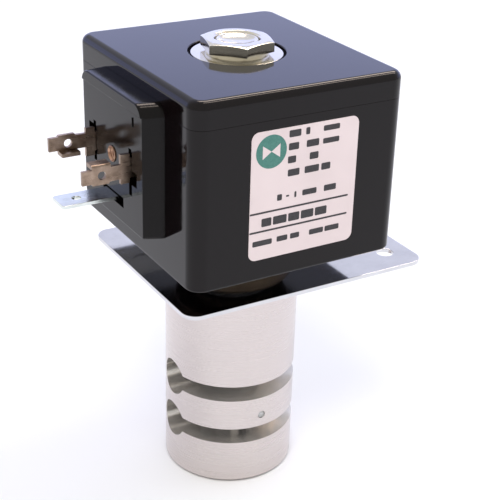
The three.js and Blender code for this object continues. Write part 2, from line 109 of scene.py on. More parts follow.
def areaLight(spec, shape, tone):
    data = bpy.data.lights.new(spec["name"], "AREA")
    data.shape = shape
    data.size = spec["size"]
    data.energy = spec["watts"]
    data.color = studio[tone]
    obj = bpy.data.objects.new(spec["name"], data)
    obj.location = spec["place"]
    bpy.context.scene.collection.objects.link(obj)
    return obj


def hangLights():
    aim = Vector(studio["aim"])
    for spec in softLights:
        lamp = areaLight(spec, "DISK", spec["tone"])
        lamp.rotation_mode = "QUATERNION"
        lamp.rotation_quaternion = (aim - lamp.location).to_track_quat("-Z", "Y")
        lamp.visible_glossy = False
    for spec in edgeStrips:
        lamp = areaLight(spec, "RECTANGLE", "stripTone")
        lamp.data.size_y = spec["width"]
        lamp.rotation_euler.x = math.atan2(-lamp.location.y, lamp.location.z)
        lamp.visible_diffuse = False


def paintSky():
    world = bpy.data.worlds.new("studioSky")
    world.use_nodes = True
    tree = world.node_tree
    sky = tree.nodes["Background"]
    coords = newNode(tree, "ShaderNodeTexCoord")
    split = newNode(tree, "ShaderNodeSeparateXYZ")
    tree.links.new(coords.outputs["Generated"], split.inputs[0])
    height = fade(tree, split.outputs["Z"], studio["bandHeights"])
    wall = newNode(tree, "ShaderNodeMix", data_type="RGBA")
    wall.inputs["A"].default_value = (*studio["bandColour"], 1)
    wall.inputs["B"].default_value = (*studio["backColour"], 1)
    tree.links.new(height, wall.inputs["Factor"])
    facing = newNode(tree, "ShaderNodeVectorMath", operation="DOT_PRODUCT")
    facing.inputs[1].default_value = studio["wallSide"]
    tree.links.new(coords.outputs["Generated"], facing.inputs[0])
    side = fade(tree, facing.outputs["Value"], studio["wallFade"])
    whole = newNode(tree, "ShaderNodeMix", data_type="RGBA")
    whole.inputs["A"].default_value = (*studio["skyColour"], 1)
    tree.links.new(wall.outputs["Result"], whole.inputs["B"])
    tree.links.new(side, whole.inputs["Factor"])
    tree.links.new(whole.outputs["Result"], sky.inputs["Color"])
    bpy.context.scene.world = world
    bpy.context.scene.view_settings.view_transform = "Standard"


placeCamera()
hangLights()
paintSky()
print("camera and light placed")


# Materials. Patterns are drawn on Object coordinates, in metres, and bump depths are in metres.

def startMaterial(name):
    material = bpy.data.materials.new(name)
    material.use_nodes = True
    tree = material.node_tree
    return material, tree, tree.nodes["Principled BSDF"]


def stretched(tree, scale, shift=(0, 0, 0)):
    coords = newNode(tree, "ShaderNodeTexCoord")
    mapping = newNode(tree, "ShaderNodeMapping")
    mapping.inputs["Scale"].default_value = scale
    mapping.inputs["Location"].default_value = shift
    tree.links.new(coords.outputs["Object"], mapping.inputs["Vector"])
    return mapping.outputs["Vector"]


def noise(tree, vector, detail=4.0, rough=0.55):
    cloud = newNode(tree, "ShaderNodeTexNoise")
    cloud.inputs["Scale"].default_value = 1.0
    cloud.inputs["Detail"].default_value = detail
    cloud.inputs["Roughness"].default_value = rough
    tree.links.new(vector, cloud.inputs["Vector"])
    return cloud.outputs["Fac"]


def spread(tree, factor, low, high):
    remap = newNode(tree, "ShaderNodeMapRange")
    remap.inputs["From Min"].default_value = 0.3
    remap.inputs["From Max"].default_value = 0.7
    remap.inputs["To Min"].default_value = low
    remap.inputs["To Max"].default_value = high
    tree.links.new(factor, remap.inputs["Value"])
    return remap.outputs["Result"]


def twoTone(tree, factor, first, second, low=0.3, high=0.7):
    ramp = newNode(tree, "ShaderNodeValToRGB")
    ramp.color_ramp.elements[0].position = low
    ramp.color_ramp.elements[1].position = high
    ramp.color_ramp.elements[0].color = (*first, 1)
    ramp.color_ramp.elements[1].color = (*second, 1)
    tree.links.new(factor, ramp.inputs[0])
    return ramp.outputs["Color"]


def bumped(tree, shader, *layers):
    normal = None
    for height, depth in layers:
        bump = newNode(tree, "ShaderNodeBump")
        bump.inputs["Strength"].default_value = 1.0
        bump.inputs["Distance"].default_value = depth
        tree.links.new(height, bump.inputs["Height"])
        if normal is not None:
            tree.links.new(normal, bump.inputs["Normal"])
        normal = bump.outputs["Normal"]
    tree.links.new(normal, shader.inputs["Normal"])


# Moulded plastic: a faint swell from the mould, a fine grain and a trace of dust
def mouldedPlastic(name, dark, light, roughness, swell, grain, ior=1.5):
    material, tree, shader = startMaterial(name)
    soft = noise(tree, stretched(tree, (260, 260, 260)), detail=2)
    fine = noise(tree, stretched(tree, (5200, 5200, 5200)), detail=3)
    dust = noise(tree, stretched(tree, (1900, 1900, 1900), (3, 5, 7)), detail=6, rough=0.7)
    tree.links.new(twoTone(tree, dust, dark, light, 0.45, 0.85), shader.inputs["Base Color"])
    tree.links.new(spread(tree, soft, *roughness), shader.inputs["Roughness"])
    shader.inputs["IOR"].default_value = ior
    bumped(tree, shader, (soft, swell), (fine, grain))
    return material


# Turned metal: fine rings round Z over a slow change of tone
def turnedMetal(name, dark, light, roughness, grooves, depth, metallic=1.0):
    material, tree, shader = startMaterial(name)
    rings = noise(tree, stretched(tree, (18, 18, grooves)), detail=5, rough=0.65)
    cloud = noise(tree, stretched(tree, (90, 90, 60), (1, 2, 3)), detail=3)
    half = newNode(tree, "ShaderNodeMath", operation="MULTIPLY")
    half.inputs[1].default_value = 0.5
    tree.links.new(cloud, half.inputs[0])
    blend = newNode(tree, "ShaderNodeMath", operation="MULTIPLY_ADD")
    blend.inputs[1].default_value = 0.5
    tree.links.new(rings, blend.inputs[0])
    tree.links.new(half.outputs[0], blend.inputs[2])
    tree.links.new(twoTone(tree, blend.outputs[0], dark, light), shader.inputs["Base Color"])
    tree.links.new(spread(tree, rings, *roughness), shader.inputs["Roughness"])
    shader.inputs["Metallic"].default_value = metallic
    bumped(tree, shader, (rings, depth))
    return material


# Sheet metal: rolling lines in one direction, with stains that grow as the stain scale falls
def sheetMetal(name, dark, light, roughness, stretch, depth, stain=140):
    material, tree, shader = startMaterial(name)
    lines = noise(tree, stretched(tree, stretch), detail=5, rough=0.6)
    cloud = noise(tree, stretched(tree, (stain, stain, stain), (4, 1, 2)), detail=5, rough=0.6)
    tree.links.new(twoTone(tree, cloud, dark, light), shader.inputs["Base Color"])
    tree.links.new(spread(tree, lines, *roughness), shader.inputs["Roughness"])
    shader.inputs["Metallic"].default_value = 1.0
    bumped(tree, shader, (lines, depth))
    return material


def coilResin():
    return mouldedPlastic(
        "coilResin", dark=(0.0025, 0.0012, 0.0014), light=(0.006, 0.0032, 0.0038),
        roughness=(0.05, 0.1), swell=3e-6, grain=3e-7, ior=1.33)


def connectorPlastic():
    return mouldedPlastic(
        "connectorPlastic", dark=(0.002, 0.0012, 0.001), light=(0.005, 0.003, 0.0028),
        roughness=(0.1, 0.18), swell=3e-6, grain=5e-7, ior=1.28)


def bodyAluminium():
    return turnedMetal(
        "bodyAluminium", dark=(0.62, 0.565, 0.55), light=(0.67, 0.61, 0.59),
        roughness=(0.22, 0.30), grooves=3200, depth=4e-7)


# Aluminium for the channels and the pocket, lighter than the body's: painted light that brightens the shade
# inside them, over finer machining marks
def boreAluminiumPaintedLight():
    return turnedMetal(
        "boreAluminiumPaintedLight", dark=(0.66, 0.63, 0.59), light=(0.86, 0.83, 0.78),
        roughness=(0.14, 0.3), grooves=1500, depth=1e-6, metallic=0.8)


def plateSteel():
    return sheetMetal(
        "plateSteel", dark=(0.60, 0.60, 0.62), light=(0.70, 0.70, 0.72),
        roughness=(0.05, 0.12), stretch=(35, 2600, 35), depth=4e-7)


def stemBronze():
    return turnedMetal(
        "stemBronze", dark=(0.13, 0.095, 0.065), light=(0.24, 0.185, 0.13),
        roughness=(0.38, 0.55), grooves=3000, depth=3e-6, metallic=0.9)


def nutZinc():
    return turnedMetal(
        "nutZinc", dark=(0.62, 0.585, 0.50), light=(0.76, 0.72, 0.61),
        roughness=(0.10, 0.2), grooves=2400, depth=6e-7)


def innerSteel():
    return turnedMetal(
        "innerSteel", dark=(0.42, 0.42, 0.41), light=(0.58, 0.58, 0.57),
        roughness=(0.2, 0.36), grooves=2800, depth=1.5e-6)


def bladeBronze():
    return sheetMetal(
        "bladeBronze", dark=(0.20, 0.14, 0.10), light=(0.42, 0.32, 0.25),
        roughness=(0.24, 0.42), stretch=(300, 300, 2400), depth=1.5e-6, stain=420)


def earthTin():
    return sheetMetal(
        "earthTin", dark=(0.60, 0.64, 0.62), light=(0.78, 0.82, 0.79),
        roughness=(0.14, 0.26), stretch=(60, 2400, 60), depth=8e-7, stain=300)


def insertBrass():
    return sheetMetal(
        "insertBrass", dark=(0.40, 0.23, 0.15), light=(0.60, 0.38, 0.27),
        roughness=(0.22, 0.36), stretch=(900, 900, 900), depth=1e-6, stain=500)


def yokeSteel():
    return sheetMetal(
        "yokeSteel", dark=(0.30, 0.30, 0.31), light=(0.46, 0.46, 0.47),
        roughness=(0.3, 0.5), stretch=(1800, 60, 60), depth=2e-6, stain=120)


def bobbinNylon():
    return mouldedPlastic(
        "bobbinNylon", dark=(0.62, 0.58, 0.48), light=(0.74, 0.70, 0.60),
        roughness=(0.35, 0.5), swell=4e-6, grain=1e-6)


def gasketRubber():
    return mouldedPlastic(
        "gasketRubber", dark=(0.012, 0.012, 0.012), light=(0.035, 0.034, 0.033),
        roughness=(0.6, 0.8), swell=5e-6, grain=3e-6)


def windingCopper():
    material, tree, shader = startMaterial("windingCopper")
    turns = newNode(tree, "ShaderNodeTexWave", bands_direction="Z", wave_profile="SIN")
    turns.inputs["Scale"].default_value = 700
    turns.inputs["Distortion"].default_value = 0.4
    turns.inputs["Detail"].default_value = 1
    coords = newNode(tree, "ShaderNodeTexCoord")
    tree.links.new(coords.outputs["Object"], turns.inputs["Vector"])
    cloud = noise(tree, stretched(tree, (200, 200, 900)), detail=3)
    copper = twoTone(tree, cloud, (0.42, 0.15, 0.06), (0.62, 0.26, 0.12))
    tree.links.new(copper, shader.inputs["Base Color"])
    tree.links.new(spread(tree, cloud, 0.25, 0.4), shader.inputs["Roughness"])
    shader.inputs["Metallic"].default_value = 0.9
    bumped(tree, shader, (turns.outputs["Fac"], 6e-5))
    return material


def labelPaper():
    material, tree, shader = startMaterial("labelPaper")
    fibre = noise(tree, stretched(tree, (1500, 1500, 2600)), detail=6, rough=0.65)
    tint = noise(tree, stretched(tree, (70, 70, 70)), detail=2)
    paper = twoTone(tree, tint, (0.70, 0.595, 0.59), (0.76, 0.65, 0.645))
    tree.links.new(paper, shader.inputs["Base Color"])
    tree.links.new(spread(tree, fibre, 0.32, 0.46), shader.inputs["Roughness"])
    bumped(tree, shader, (fibre, 2e-6))
    return material


def printInk(name, dark, light):
    material, tree, shader = startMaterial(name)
    speck = noise(tree, stretched(tree, (3600, 3600, 3600)), detail=4, rough=0.7)
    tree.links.new(twoTone(tree, speck, dark, light, 0.35, 0.8), shader.inputs["Base Color"])
    tree.links.new(spread(tree, speck, 0.35, 0.55), shader.inputs["Roughness"])
    bumped(tree, shader, (speck, 1e-6))
    return material


def floorPaint():
    material, tree, shader = startMaterial("floorPaint")
    cloud = noise(tree, stretched(tree, (6, 6, 6)), detail=2)
    paint = twoTone(tree, cloud, (0.93, 0.93, 0.93), (0.95, 0.95, 0.95))
    tree.links.new(paint, shader.inputs["Base Color"])
    shader.inputs["Roughness"].default_value = 0.9
    return material


finishes = {
    "coilResin": coilResin(),
    "connectorPlastic": connectorPlastic(),
    "bodyAluminium": bodyAluminium(),
    "boreAluminiumPaintedLight": boreAluminiumPaintedLight(),
    "plateSteel": plateSteel(),
    "stemBronze": stemBronze(),
    "nutZinc": nutZinc(),
    "innerSteel": innerSteel(),
    "bladeBronze": bladeBronze(),
    "earthTin": earthTin(),
    "insertBrass": insertBrass(),
    "yokeSteel": yokeSteel(),
    "bobbinNylon": bobbinNylon(),
    "gasketRubber": gasketRubber(),
    "windingCopper": windingCopper(),
    "labelPaper": labelPaper(),
    "labelInk": printInk("labelInk", (0.012, 0.011, 0.012), (0.05, 0.045, 0.05)),
    "labelGreen": printInk("labelGreen", (0.035, 0.16, 0.13), (0.09, 0.27, 0.22)),
}
print("materials made:", len(finishes))


# Shaping helpers. Shapes are drawn in millimetres and become metres when a piece is finished.

shaping = {
    "merge": 0.0004, "collapse": 0.0002, "flatAngle": 0.4, "level": 0.001,
    "join": 0.05,  # how far joined shapes reach into each other
    "over": 1.0,  # how far a cutter reaches past the face that it cuts
}


def block(x0, x1, y0, y1, z0, z1):
    bm = bmesh.new()
    middle = Matrix.Translation(((x0 + x1) / 2, (y0 + y1) / 2, (z0 + z1) / 2))
    bmesh.ops.create_cube(bm, size=1, matrix=middle @ Matrix.Diagonal((x1 - x0, y1 - y0, z1 - z0, 1)))
    return bm


def rod(radius, start, end, steps=48):
    bm = bmesh.new()
    start, end = Vector(start), Vector(end)
    along = end - start
    place = Matrix.Translation((start + end) / 2) @ along.to_track_quat("Z", "Y").to_matrix().to_4x4()
    bmesh.ops.create_cone(
        bm, cap_ends=True, segments=steps, radius1=radius, radius2=radius, depth=along.length, matrix=place)
    return bm


def turned(profile, steps=96, closedRing=False):
    bm = bmesh.new()
    verts = [bm.verts.new((radius, 0, z)) for radius, z in profile]
    pairs = list(zip(verts, verts[1:]))
    if closedRing:
        pairs.append((verts[-1], verts[0]))
    edges = [bm.edges.new(pair) for pair in pairs]
    bmesh.ops.spin(
        bm, geom=verts + edges, cent=(0, 0, 0), axis=(0, 0, 1), dvec=(0, 0, 0),
        angle=2 * math.pi, steps=steps, use_merge=True, use_duplicate=False)
    tidyShell(bm)
    return bm


def stamped(points, thickness, place):
    bm = bmesh.new()
    face = bm.faces.new([bm.verts.new((x, y, 0)) for x, y in points])
    grown = bmesh.ops.extrude_face_region(bm, geom=[face])
    lifted = [v for v in grown["geom"] if isinstance(v, bmesh.types.BMVert)]
    bmesh.ops.translate(bm, vec=(0, 0, thickness), verts=lifted)
    bmesh.ops.transform(bm, matrix=place, verts=bm.verts[:])
    tidyShell(bm)
    return bm


def tidyShell(bm):
    bmesh.ops.remove_doubles(bm, verts=bm.verts[:], dist=shaping["merge"])
    bmesh.ops.dissolve_degenerate(bm, dist=shaping["collapse"], edges=bm.edges[:])
    bmesh.ops.recalc_face_normals(bm, faces=bm.faces[:])


def edgesAlong(bm, axis):
    return [e for e in bm.edges if abs((e.verts[1].co - e.verts[0].co).normalized()[axis]) > 0.999]


def edgesAt(bm, axis, level):
    return [e for e in bm.edges if all(abs(v.co[axis] - level) < shaping["level"] for v in e.verts)]


def rounded(bm, edges, width, steps):
    bmesh.ops.bevel(
        bm, geom=edges, offset=width, offset_type="OFFSET", segments=steps, profile=0.5,
        affect="EDGES", clamp_overlap=True, material=-1)


def softened(bm, width, steps=2, angle=30):
    flat = math.radians(shaping["flatAngle"])
    bmesh.ops.dissolve_limit(bm, angle_limit=flat, verts=bm.verts[:], edges=bm.edges[:])
    limit = math.radians(angle)
    sharp = [e for e in bm.edges if len(e.link_faces) == 2 and e.calc_face_angle(0) > limit]
    rounded(bm, sharp, width, steps)


def looseObject(bm):
    mesh = bpy.data.meshes.new("loose")
    bm.to_mesh(mesh)
    bm.free()
    obj = bpy.data.objects.new("loose", mesh)
    bpy.context.scene.collection.objects.link(obj)
    return obj


def combined(bm, tools, operation="DIFFERENCE"):
    base = looseObject(bm)
    spare = [looseObject(tool) for tool in tools]
    for tool in spare:
        step = base.modifiers.new("step", "BOOLEAN")
        step.operation = operation
        step.solver = "EXACT"
        step.object = tool
    result = bmesh.new()
    result.from_object(base, bpy.context.evaluated_depsgraph_get())
    for obj in [base, *spare]:
        mesh = obj.data
        bpy.data.objects.remove(obj)
        bpy.data.meshes.remove(mesh)
    bmesh.ops.remove_doubles(result, verts=result.verts[:], dist=shaping["merge"])
    return result


def gathered(*shells):
    whole = bmesh.new()
    for shell in shells:
        mesh = bpy.data.meshes.new("shell")
        shell.to_mesh(mesh)
        shell.free()
        whole.from_mesh(mesh)
        bpy.data.meshes.remove(mesh)
    return whole


def finishPiece(bm, name, body, finish, standsFor=(), smoothBelow=38):
    bmesh.ops.scale(bm, vec=(0.001, 0.001, 0.001), verts=bm.verts[:])
    mesh = bpy.data.meshes.new(name)
    bm.to_mesh(mesh)
    bm.free()
    mesh.shade_smooth()
    mesh.set_sharp_from_angle(angle=math.radians(smoothBelow))
    mesh.materials.append(finishes[finish])
    obj = bpy.data.objects.new(name, mesh)
    bpy.context.scene.collection.objects.link(obj)
    even = obj.modifiers.new("evenShading", "WEIGHTED_NORMAL")
    even.keep_sharp = True
    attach(obj, body)
    if standsFor:
        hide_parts(*standsFor)
    print("  piece", name, len(mesh.polygons), "faces")
    return obj


# Valve body: a turned billet with two keyhole channels for the tubes

valveBody = {
    "radius": 16.0, "height": 54.9, "chamfer": 0.6,
    "channelRadius": 4.55, "channelHeights": (13.4, 25.4), "slit": 4.0, "slitEnd": -1.1,
    "pocket": ((7.6, 8.6), (7.6, 31.0), (8.3, 31.0), (8.3, 46.5), (10.0, 46.5), (10.0, 56.0)),
    "pinRadius": 0.95, "pinHeight": 18.5, "pinDepth": -6.5, "edge": 0.15,
    "seamTurn": 1.3,  # degrees; keeps the pocket's seam off the plane of the slits
    "skin": 0.35, "endZone": 1,  # faces deeper than these are inside the channels or the pocket
}


def makeValveBody():
    v = valveBody
    r, h, c = v["radius"], v["height"], v["chamfer"]
    billet = turned([(0, 0), (r - c, 0), (r, c), (r, h - c), (r - c, h), (0, h)], steps=192)
    pocket = turned([(0, v["pocket"][0][1]), *v["pocket"], (0, v["pocket"][-1][1])], steps=96)
    seam = Matrix.Rotation(math.radians(v["seamTurn"]), 3, "Z")
    bmesh.ops.rotate(pocket, cent=(0, 0, 0), matrix=seam, verts=pocket.verts[:])
    out = r + 2
    pinZ = v["pinHeight"]
    tools = [pocket, rod(v["pinRadius"], (0, -out, pinZ), (0, v["pinDepth"], pinZ), 32)]
    for z in v["channelHeights"]:
        tools.append(rod(v["channelRadius"], (-out, 0, z), (out, 0, z), 72))
        tools.append(block(-out, out, -out, v["slitEnd"], z - v["slit"] / 2, z + v["slit"] / 2))
    bm = combined(billet, tools)
    softened(bm, v["edge"])
    low, high = v["endZone"], h - v["endZone"]
    for face in bm.faces:  # the milled channels and the pocket get a lighter aluminium: its finer machining marks are real, its lighter tone is painted light against the shade inside them
        middle = face.calc_center_median()
        face.material_index = int(middle.xy.length < r - v["skin"] and low < middle.z < high)
    shell = finishPiece(bm, "valveBodyShell", "valve", "bodyAluminium", ["valve_body"])
    shell.data.materials.append(finishes["boreAluminiumPaintedLight"])


guidePin = {
    "radius": 0.85, "face": -15.9, "tip": -6.15, "height": 18.5, "dimple": 0.4,
    "edge": 0.12, "dimpleEdge": 0.1, "tipChamfer": 0.2,
}


def makeGuidePin():
    p = guidePin
    length = p["tip"] - p["face"]
    r, edge, k = p["radius"], p["edge"], p["tipChamfer"]
    bm = turned([
        (0, edge), (p["dimple"], edge), (p["dimple"] + p["dimpleEdge"], 0.02), (r - edge, 0), (r, edge),
        (r, length - k), (r - k, length), (0, length)], steps=40)
    place = Matrix.Translation((0, p["face"], p["height"])) @ Matrix.Rotation(-math.pi / 2, 4, "X")
    bmesh.ops.transform(bm, matrix=place, verts=bm.verts[:])
    finishPiece(bm, "guidePinTurned", "valve", "innerSteel", ["guide_pin"])


makeValveBody()
makeGuidePin()
print("body made")


# Mounting plate and stem

mountingPlate = {
    "x": (-25.0, 38.9), "y": (-25.0, 25.0), "z": (54.9, 55.9), "corner": 3.5,
    "holeRadius": 2.1, "holes": ((32.5, -17.5), (32.5, 17.5)), "boreRadius": 10.1, "edge": 0.1,
}
stem = {
    "outline": (
        (7.25, 46.6), (9.9, 46.6), (9.9, 55.9), (14.0, 55.9), (14.0, 59.8), (13.5, 60.3),
        (10.0, 60.3), (10.0, 62.25), (7.25, 62.25)),
    "edge": 0.15,
}


def makeMountingPlate():
    p = mountingPlate
    bm = block(*p["x"], *p["y"], *p["z"])
    rounded(bm, edgesAlong(bm, 2), p["corner"], 12)
    low, high = p["z"][0] - shaping["over"], p["z"][1] + shaping["over"]
    tools = [rod(p["holeRadius"], (x, y, low), (x, y, high), 48) for x, y in p["holes"]]
    tools.append(rod(p["boreRadius"], (0, 0, low), (0, 0, high), 96))
    bm = combined(bm, tools)
    softened(bm, p["edge"])
    finishPiece(bm, "mountingPlateSheet", "valve", "plateSteel", ["mounting_plate"])


def makeStem():
    bm = turned(stem["outline"], steps=120, closedRing=True)
    softened(bm, stem["edge"])
    finishPiece(bm, "stemFlange", "valve", "stemBronze", ["stem_base"])


makeMountingPlate()
makeStem()
print("plate and stem made")


# Coil: a moulded shell in two parts with a fine joint line between them

coil = {
    "x": (-26.0, 26.0), "y": (-28.6, 28.6), "bottom": 63.3, "joint": 99.5, "top": 105.4,
    "corner": 3.6, "topRadius": 1.9, "bottomRadius": 0.7, "jointEdge": 0.1,
    "wall": 3.0, "cavityY": 24.6, "boreRadius": 7.35, "studHole": 5.4,
    "recessRadius": 11.0, "recessDepth": 1.85, "recessEdge": 0.25,
    "ejectorMarks": ((-14, 19), (14, 19), (-14, -19), (14, -19)), "ejectorRadius": 3.0,
    "ejectorDepth": 0.15,
}
blades = {
    "pitch": 18.0, "thickness": 0.8, "middle": 86.2, "earthLevel": 77.0, "shankHalf": 2.2, "earthHalf": 3.15,
    "play": 0.2,
}


def bladeSlots(x0, x1):
    b = blades
    half = b["thickness"] / 2 + b["play"]
    tall = b["shankHalf"] + b["play"]
    wide = b["earthHalf"] + b["play"]
    y, z, low = b["pitch"] / 2, b["middle"], b["earthLevel"]
    return [
        block(x0, x1, y - half, y + half, z - tall, z + tall),
        block(x0, x1, -y - half, -y + half, z - tall, z + tall),
        block(x0, x1, -wide, wide, low - half, low + half),
    ]


def makeCoilHousing():
    c = coil
    bm = block(*c["x"], *c["y"], c["bottom"], c["joint"])
    rounded(bm, edgesAlong(bm, 2), c["corner"], 14)
    rounded(bm, edgesAt(bm, 2, c["bottom"]), c["bottomRadius"], 4)
    rounded(bm, edgesAt(bm, 2, c["joint"]), c["jointEdge"], 2)
    wall, over, bottom = c["wall"], shaping["over"], c["bottom"]
    left, right = c["x"]
    z, fit = blades["middle"], insert["fit"]
    tools = [
        block(left + wall, right - wall, -c["cavityY"], c["cavityY"], bottom + wall, c["joint"] + over),
        rod(c["boreRadius"], (0, 0, bottom - over), (0, 0, bottom + wall + over), 72),
        rod(insert["radius"] + fit, (left - over, 0, z), (insert["tail"] + fit, 0, z), 40),
        *bladeSlots(left - over, left + wall + over),
    ]
    for x, y in c["ejectorMarks"]:
        top = bottom + c["ejectorDepth"]
        tools.append(rod(c["ejectorRadius"], (x, y, bottom - over), (x, y, top), 40))
    bm = combined(bm, tools)
    finishPiece(bm, "coilHousingMoulding", "coil", "coilResin", ["coil_housing"])


def makeCoilCap():
    c = coil
    bm = block(*c["x"], *c["y"], c["joint"], c["top"])
    rounded(bm, edgesAlong(bm, 2), c["corner"], 14)
    rounded(bm, edgesAt(bm, 2, c["top"]), c["topRadius"], 10)
    rounded(bm, edgesAt(bm, 2, c["joint"]), c["jointEdge"], 2)
    floor = c["top"] - c["recessDepth"]
    tools = [
        rod(c["recessRadius"], (0, 0, floor), (0, 0, c["top"] + shaping["over"]), 128),
        rod(c["studHole"], (0, 0, c["joint"] - shaping["over"]), (0, 0, c["top"]), 72),
    ]
    bm = combined(bm, tools)
    inside = c["recessRadius"] + 0.05
    rim = [e for e in edgesAt(bm, 2, c["top"]) if all(v.co.xy.length < inside for v in e.verts)]
    rounded(bm, rim, c["recessEdge"], 4)
    finishPiece(bm, "coilCapMoulding", "coil", "coilResin", ["coil_cap"])


# Connector on the side of the coil: a moulded block, its threaded insert and three blades

connector = {
    "panel": -30.7, "root": -26.05, "panelHalf": 15.0, "rootHalf": 16.0,
    "panelBottom": 71.6, "rootBottom": 71.2, "top": 101.4, "topCorner": 3.0, "lowCorner": 0.9, "edge": 0.3,
    "lipBottom": 98.9, "lipHeight": 0.35, "lipEdge": 0.2, "slotHalf": 0.7, "slotDepth": 2.2,
    "rearSlot": (81.6, 90.9), "frontSlot": (79.8, 90.4),
    "rearPocket": ((9.0, 12.1), (86.8, 90.0)), "frontPocket": ((-12.1, -9.0), (82.4, 85.6)),
    "earthSlotY": (-5.3, 5.2), "earthSlotZ": (75.3, 77.65),
    "ribY": (-10.65, -10.35), "ribZ": (95.8, 97.8), "ribHeight": 0.25, "ribEdge": 0.08,
}
insert = {
    "radius": 1.8, "bore": 1.4, "tail": -24.6, "stand": 0.3, "fit": 0.1, "floor": 0.8,
    "threadStart": 0.5, "threadStep": 0.25, "threadDepth": 0.18, "threadPoints": 17,
}


def runningOut(bm):  # edges that run from the coil's wall to the panel
    return [e for e in bm.edges if abs(e.verts[0].co.x - e.verts[1].co.x) > 1]


def connectorShape(stand=0.0):
    c = connector
    panel = c["panel"] - stand
    bm = block(panel, c["root"], -c["rootHalf"], c["rootHalf"], c["rootBottom"], c["top"])
    for v in bm.verts:  # the sides draw in towards the panel
        if v.co.x < panel + 0.01:
            v.co.y *= c["panelHalf"] / c["rootHalf"]
            if v.co.z < c["rootBottom"] + 0.01:
                v.co.z = c["panelBottom"]
    rounded(bm, [e for e in runningOut(bm) if e.verts[0].co.z > blades["middle"]], c["topCorner"], 10)
    rounded(bm, [e for e in runningOut(bm) if e.verts[0].co.z < blades["earthLevel"]], c["lowCorner"], 5)
    rounded(bm, edgesAt(bm, 0, panel), c["edge"], 3)
    return bm


def makeConnectorBlock():
    c = connector
    p, over = c["panel"], shaping["over"]
    wide, high = c["rootHalf"] + over, c["top"] + over
    band = block(p - over, p + 0.5, -wide, wide, c["lipBottom"], high)
    lip = combined(connectorShape(c["lipHeight"]), [band], "INTERSECT")
    front = [e for e in edgesAt(lip, 2, c["lipBottom"]) if all(v.co.x < p for v in e.verts)]
    rounded(lip, front, c["lipEdge"], 3)
    rib = block(p - c["ribHeight"], p + 0.2, *c["ribY"], *c["ribZ"])
    rounded(rib, rib.edges[:], c["ribEdge"], 2)
    bm = combined(connectorShape(), [lip, rib], "UNION")
    y, z = blades["pitch"] / 2, blades["middle"]
    half, deep = c["slotHalf"], p + c["slotDepth"]
    tools = [
        block(p - over, deep, y - half, y + half, *c["rearSlot"]),
        block(p - over, deep, -y - half, -y + half, *c["frontSlot"]),
        block(p - over, deep, *c["rearPocket"][0], *c["rearPocket"][1]),
        block(p - over, deep, *c["frontPocket"][0], *c["frontPocket"][1]),
        block(p - over, deep, *c["earthSlotY"], *c["earthSlotZ"]),
        rod(insert["radius"] + insert["fit"], (p - over, 0, z), (c["root"] + over, 0, z), 48),
        *bladeSlots(p - over, c["root"] + over),
    ]
    bm = combined(bm, tools)
    finishPiece(bm, "connectorMoulding", "coil", "connectorPlastic", ["connector_base"])


def makeInsert():
    i = insert
    face = connector["panel"] - i["stand"]
    length = i["tail"] - face
    bore, r = i["bore"], i["radius"]
    thread = [  # crests and roots in turn
        (bore + i["threadDepth"] * (k % 2), i["threadStart"] + i["threadStep"] * k)
        for k in range(i["threadPoints"])
    ]
    bm = turned([
        (r, 0.1), (r, length), (0, length), (0, length - i["floor"]), (bore, length - i["floor"]),
        *reversed(thread), (r - 0.1, 0.0)], steps=48, closedRing=True)
    place = Matrix.Translation((face, 0, blades["middle"])) @ Matrix.Rotation(math.pi / 2, 4, "Y")
    bmesh.ops.transform(bm, matrix=place, verts=bm.verts[:])
    finishPiece(bm, "connectorInsertBrass", "coil", "insertBrass", ["connector_insert"])


powerBlade = {
    "outline": (
        (-22.2, -2.2), (-22.2, 2.2), (-31.0, 2.2), (-31.0, 3.3), (-33.1, 3.3), (-33.1, 2.1), (-35.6, 2.2),
        (-35.8, 2.6), (-39.5, 2.6), (-39.7, 2.2), (-41.8, 2.2), (-41.8, -0.9), (-39.6, -0.9), (-39.6, -1.1),
        (-33.1, -1.1), (-33.1, -3.3), (-31.0, -3.3), (-31.0, -2.2)),
    "hole": (-37.35, 0.55), "holeRadius": 0.95, "wingX": (-39.6, -35.3), "wingLevel": -1.1,
    "wingReach": 2.4, "foldRadius": 0.5, "edge": 0.08,
}
earthBlade = {
    "tip": -43.8, "root": -21.7, "chamfer": 0.5, "hole": -39.4, "holeRadius": 1.0,
    "legBottom": 66.45, "legThickness": 0.8, "edge": 0.1,
}


def makePowerBlades():
    b = powerBlade
    half, over = blades["thickness"] / 2, shaping["over"]
    upright = Matrix.Translation((0, half, 0)) @ Matrix.Rotation(math.pi / 2, 4, "X")
    for name, side in (("power_blade_rear", 1), ("power_blade_front", -1)):
        flat = stamped(b["outline"], 2 * half, upright)
        top = b["wingLevel"]
        wing = block(*b["wingX"], -b["wingReach"], half, top - 2 * half, top + shaping["join"])
        fold = [e for e in edgesAlong(wing, 0) if e.verts[0].co.z < top - half and e.verts[0].co.y > 0]
        rounded(wing, fold, b["foldRadius"], 5)
        bm = combined(flat, [wing], "UNION")
        x, z = b["hole"]
        bm = combined(bm, [rod(b["holeRadius"], (x, -over, z), (x, over, z), 40)])
        softened(bm, b["edge"])
        turn = Matrix.Rotation(0 if side > 0 else math.pi, 4, "X")
        place = Matrix.Translation((0, side * blades["pitch"] / 2, blades["middle"])) @ turn
        bmesh.ops.transform(bm, matrix=place, verts=bm.verts[:])
        finishPiece(bm, name.replace("_", "") + "Stamping", "coil", "bladeBronze", [name])


